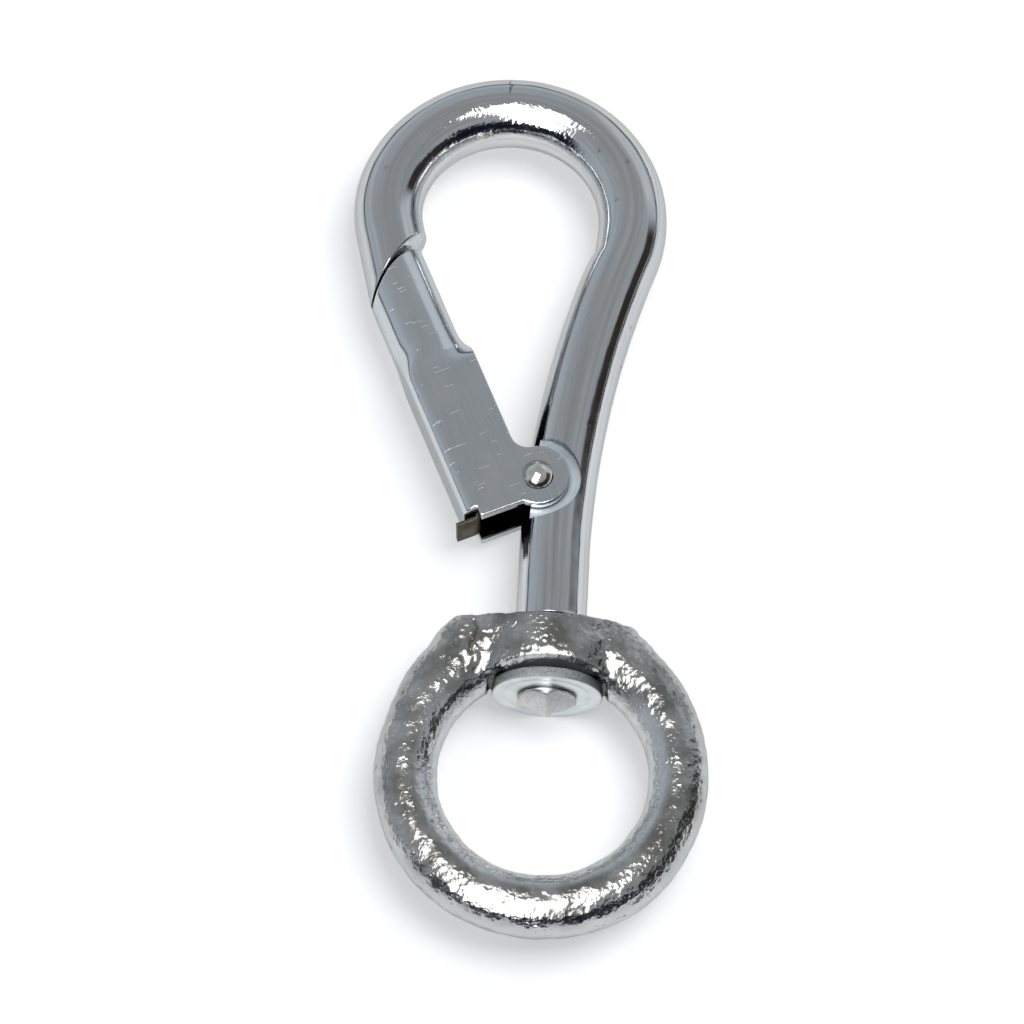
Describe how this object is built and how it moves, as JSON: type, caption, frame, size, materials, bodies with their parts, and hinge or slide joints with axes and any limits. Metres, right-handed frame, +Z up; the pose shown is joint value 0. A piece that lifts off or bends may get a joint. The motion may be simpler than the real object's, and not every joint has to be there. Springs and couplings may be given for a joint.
{
  "type": "swivel snap hook",
  "caption": "Swivel snap hook: a bent round-bar hook with a sprung folded-sheet gate, on a ring-shaped swivel eye held by a washer and a peened stub.",
  "frame": {"origin": "centre of the box round the hook as it lies, at the surface it lies on", "axes": "+Y along the swivel axis from the eye to the bow, +Z up out of the plane of the hook, +X from the gate towards the bar's long limb"},
  "size_m": [0.0442, 0.106, 0.0124],
  "materials": {
    "zinc_bar": "bright zinc-plated round steel bar with lengthwise drawing streaks",
    "cast_zinc": "rough pitted casting under bright zinc plating",
    "pale_zinc": "pale matte zinc-plated steel",
    "gate_sheet": "satin zinc-plated steel sheet with fine scratches",
    "rivet_steel": "bright polished steel",
    "spring_strip": "brown tempered spring steel strip"
  },
  "bodies": {
    "hook": {"hook_bar": "zinc_bar"},
    "eye": {"swivel_eye": "cast_zinc"},
    "retaining_washer": {"washer": "pale_zinc"},
    "gate": {"gate": "gate_sheet", "gate_rivet": "rivet_steel", "gate_spring": "spring_strip"}
  },
  "joints": [
    {"name": "eye_swivel", "type": "hinge", "parent": "hook", "child": "eye", "pos_m": [0.00341, -0.02, 0.0062], "axis": [0, 1, 0], "continuous": true},
    {"name": "washer_spin", "type": "hinge", "parent": "hook", "child": "retaining_washer", "pos_m": [0.00341, -0.0242, 0.0062], "axis": [0, 1, 0], "continuous": true},
    {"name": "gate_hinge", "type": "hinge", "parent": "hook", "child": "gate", "pos_m": [0.00111, 0.00051, 0.0062], "axis": [0, 0, -1], "range_deg": [0, 28], "stiffness_Nm_per_rad": 0.1, "springref_deg": -28.65, "deforming": ["gate_spring"]}
  ]
}
